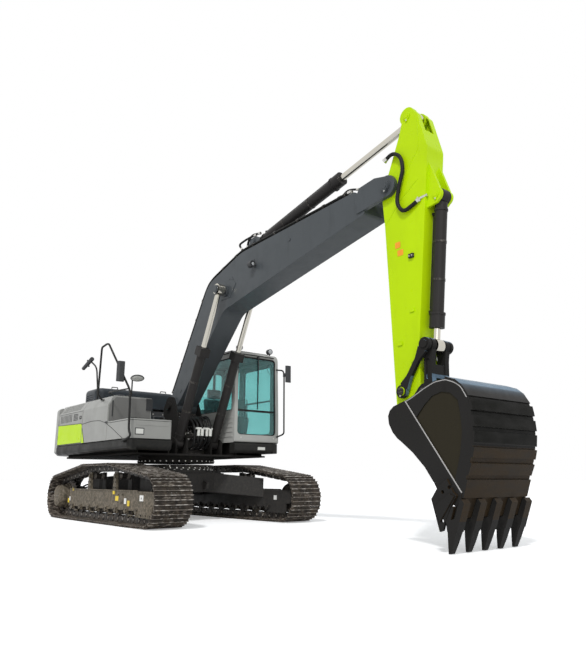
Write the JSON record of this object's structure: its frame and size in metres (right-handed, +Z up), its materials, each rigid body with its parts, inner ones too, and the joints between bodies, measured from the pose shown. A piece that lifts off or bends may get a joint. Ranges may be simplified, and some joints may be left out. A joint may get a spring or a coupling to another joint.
{
  "type": "crawler excavator",
  "caption": "Hydraulic crawler excavator with long tracks, cab on the left, one-piece boom, stick and toothed digging bucket, rear counterweight and side doors.",
  "frame": {"origin": "on the ground, at the middle of the whole machine's length and width", "axes": "+X forward from the counterweight towards the bucket, +Y to the machine's left, the cab's side, +Z up"},
  "size_m": [9.452, 3.27, 5.1179],
  "materials": {
    "body_grey": "satin",
    "deck_dark": "satin",
    "boom_slate": "satin",
    "stick_green": "satin",
    "undercarriage": "matte",
    "track_steel": "worn",
    "cylinder_paint": "satin",
    "rod_chrome": "polished",
    "bucket_black": "satin",
    "bright_steel": "machined",
    "window_glass": "clear",
    "seat_fabric": "woven",
    "trim_plastic": "matte",
    "lamp": "gloss",
    "engine_iron": "cast"
  },
  "bodies": {
    "undercarriage": {"car_body": "undercarriage", "track_frame_left": "undercarriage", "track_frame_right": "undercarriage", "track_left": "track_steel", "track_right": "track_steel", "sprockets": "undercarriage", "idlers": "undercarriage", "track_rollers": "undercarriage", "slew_ring": "bright_steel"},
    "house": {"main_frame": "deck_dark", "deck_skirts": "deck_dark", "counterweight": "body_grey", "pump_bay": "body_grey", "fuel_tank": "body_grey", "cooler_bay": "body_grey", "valve_cover": "deck_dark", "engine_block": "engine_iron", "cooling_pack": "deck_dark", "tool_box": "body_grey", "swing_motor": "deck_dark", "control_valve": "deck_dark", "deck_handrail": "deck_dark", "deck_mirrors": "trim_plastic", "cab_shell": "body_grey", "cab_glass": "window_glass", "operator_seat": "seat_fabric", "consoles": "trim_plastic", "cab_mirror_rail": "trim_plastic", "cab_lamps": "lamp"},
    "pump_door": {"pump_door": "body_grey"},
    "cooler_door": {"cooler_door": "body_grey"},
    "engine_hood": {"engine_hood": "deck_dark"},
    "tool_box_lid": {"tool_box_lid": "body_grey"},
    "cab_door": {"cab_door": "body_grey", "cab_door_glass": "window_glass"},
    "boom": {"boom": "boom_slate", "boom_pipes": "bright_steel", "boom_lamp": "lamp"},
    "boom_barrels": {"boom_cylinder_barrels": "cylinder_paint"},
    "boom_rods": {"boom_cylinder_rods": "rod_chrome"},
    "stick": {"stick": "stick_green"},
    "stick_barrel": {"stick_cylinder_barrel": "cylinder_paint"},
    "stick_rod": {"stick_cylinder_rod": "rod_chrome"},
    "bucket_barrel": {"bucket_cylinder_barrel": "cylinder_paint"},
    "bucket_rod": {"bucket_cylinder_rod": "rod_chrome"},
    "rockers": {"rocker_links": "bucket_black"},
    "bucket": {"bucket": "bucket_black", "bucket_teeth": "bucket_black", "side_cutters": "bucket_black"},
    "bucket_link": {"bucket_link": "bucket_black"}
  },
  "joints": [
    {"name": "swing", "type": "hinge", "parent": "undercarriage", "child": "house", "pos_m": [-1.993, 0, 0], "axis": [0, 0, 1], "continuous": true},
    {"name": "boom", "type": "hinge", "parent": "house", "child": "boom", "pos_m": [-1.843, 0, 1.95], "axis": [0, -1, 0], "range_deg": [-68, 35]},
    {"name": "boom_barrel_pivot", "type": "hinge", "parent": "house", "child": "boom_barrels", "pos_m": [-1.333, 0, 1.27], "axis": [0, -1, 0], "range_deg": [-63.74, 33.05]},
    {"name": "boom_rod_slide", "type": "slide", "parent": "boom_barrels", "child": "boom_rods", "axis": [0.4383, 0, 0.8988], "range_m": [-0.876, 0.456]},
    {"name": "stick", "type": "hinge", "parent": "boom", "child": "stick", "pos_m": [3.427, 0, 4.18], "axis": [0, -1, 0], "range_deg": [-32, 84]},
    {"name": "stick_barrel_pivot", "type": "hinge", "parent": "boom", "child": "stick_barrel", "pos_m": [0.507, 0, 4.37], "axis": [0, -1, 0], "range_deg": [-0.82, 1.34]},
    {"name": "stick_rod_slide", "type": "slide", "parent": "stick_barrel", "child": "stick_rod", "axis": [0.9812, 0, 0.1931], "range_m": [-1.139, 0.44]},
    {"name": "bucket", "type": "hinge", "parent": "stick", "child": "bucket", "pos_m": [3.597, 0, 1.26], "axis": [0, 1, 0], "range_deg": [-4, 148]},
    {"name": "rocker_pivot", "type": "hinge", "parent": "stick", "child": "rockers", "pos_m": [3.547, 0, 1.64], "axis": [0, 1, 0], "range_deg": [-3.34, 105.58]},
    {"name": "bucket_link_pivot", "type": "hinge", "parent": "bucket", "child": "bucket_link", "pos_m": [3.877, 0, 1.6], "axis": [0, 1, 0], "range_deg": [-102.62, 3.26]},
    {"name": "bucket_barrel_pivot", "type": "hinge", "parent": "stick", "child": "bucket_barrel", "pos_m": [4.087, 0, 3.86], "axis": [0, 1, 0], "range_deg": [-3.46, 0.58]},
    {"name": "bucket_rod_slide", "type": "slide", "parent": "bucket_barrel", "child": "bucket_rod", "axis": [-0.1092, 0, -0.994], "range_m": [-0.036, 0.966]},
    {"name": "cab_door", "type": "hinge", "parent": "house", "child": "cab_door", "pos_m": [-2.048, 1.462, 0], "axis": [0, 0, 1], "range_deg": [0, 160]},
    {"name": "engine_hood", "type": "hinge", "parent": "house", "child": "engine_hood", "pos_m": [-4.078, 0, 2.055], "axis": [0, -1, 0], "range_deg": [0, 60]},
    {"name": "pump_door", "type": "hinge", "parent": "house", "child": "pump_door", "pos_m": [-4.085, -1.436, 0], "axis": [0, 0, -1], "range_deg": [0, 110]},
    {"name": "cooler_door", "type": "hinge", "parent": "house", "child": "cooler_door", "pos_m": [-4.085, 1.436, 0], "axis": [0, 0, 1], "range_deg": [0, 110]},
    {"name": "tool_box_lid", "type": "hinge", "parent": "house", "child": "tool_box_lid", "pos_m": [-1.708, 0, 1.606], "axis": [0, -1, 0], "range_deg": [0, 80]}
  ],
  "couplings": [
    {"joint": "boom_barrel_pivot", "follows": "boom", "ratio": 0.93},
    {"joint": "boom_rod_slide", "follows": "boom", "m_per_rad": 0.73},
    {"joint": "stick_barrel_pivot", "follows": "stick", "ratio": 0.01},
    {"joint": "stick_rod_slide", "follows": "stick", "m_per_rad": -0.77},
    {"joint": "rocker_pivot", "follows": "bucket", "ratio": 0.71},
    {"joint": "bucket_link_pivot", "follows": "bucket", "ratio": -0.69},
    {"joint": "bucket_barrel_pivot", "follows": "bucket", "ratio": -0.02},
    {"joint": "bucket_rod_slide", "follows": "bucket", "m_per_rad": 0.37}
  ]
}
